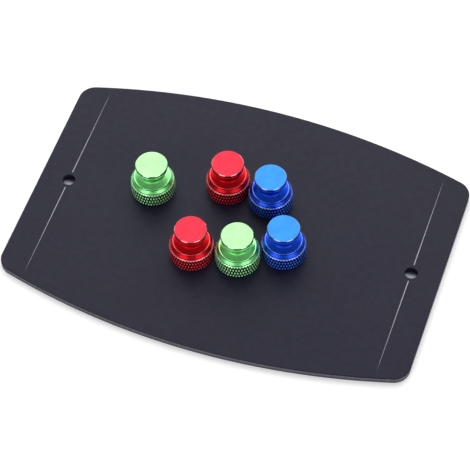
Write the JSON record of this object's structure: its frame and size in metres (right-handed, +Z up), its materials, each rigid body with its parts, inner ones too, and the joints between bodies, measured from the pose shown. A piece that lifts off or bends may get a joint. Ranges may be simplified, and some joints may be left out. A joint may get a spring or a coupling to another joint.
{
  "type": "magnetic circuit board holder",
  "caption": "Coated steel plate with bowed long sides and fixing holes, carrying turned magnetic pillars with knurled feet and grooves that grip a circuit board's edges.",
  "frame": {"origin": "centre of the plate's underside, on the surface that the holder stands on", "axes": "+X along the plate's length, +Y towards the long side behind the pillars, +Z up"},
  "size_m": [0.17, 0.12, 0.0192],
  "materials": {
    "plate_coating": "satin black powder coating on steel",
    "anodised_green": "bright turned aluminium, anodised green",
    "anodised_red": "bright turned aluminium, anodised red",
    "anodised_blue": "bright turned aluminium, anodised blue",
    "magnet_plating": "nickel plating on a sintered magnet"
  },
  "bodies": {
    "plate": {"base_plate": "plate_coating"},
    "left_green": {"left_green_pillar": "anodised_green", "left_green_magnet": "magnet_plating"},
    "back_red": {"back_red_pillar": "anodised_red", "back_red_magnet": "magnet_plating"},
    "back_blue": {"back_blue_pillar": "anodised_blue", "back_blue_magnet": "magnet_plating"},
    "front_red": {"front_red_pillar": "anodised_red", "front_red_magnet": "magnet_plating"},
    "front_green": {"front_green_pillar": "anodised_green", "front_green_magnet": "magnet_plating"},
    "right_blue": {"right_blue_pillar": "anodised_blue", "right_blue_magnet": "magnet_plating"}
  },
  "joints": [
    {"name": "left_green_slide", "type": "slide", "parent": "plate", "child": "left_green", "axis": [-1, 0, 0], "range_m": [0, 0.037]},
    {"name": "back_red_slide", "type": "slide", "parent": "plate", "child": "back_red", "axis": [0, 1, 0], "range_m": [0, 0.033]},
    {"name": "back_blue_slide", "type": "slide", "parent": "plate", "child": "back_blue", "axis": [0, 1, 0], "range_m": [0, 0.034]},
    {"name": "front_red_slide", "type": "slide", "parent": "plate", "child": "front_red", "axis": [0, -1, 0], "range_m": [0, 0.032]},
    {"name": "front_green_slide", "type": "slide", "parent": "plate", "child": "front_green", "axis": [0, -1, 0], "range_m": [0, 0.035]},
    {"name": "right_blue_slide", "type": "slide", "parent": "plate", "child": "right_blue", "axis": [1, 0, 0], "range_m": [0, 0.0535]}
  ]
}
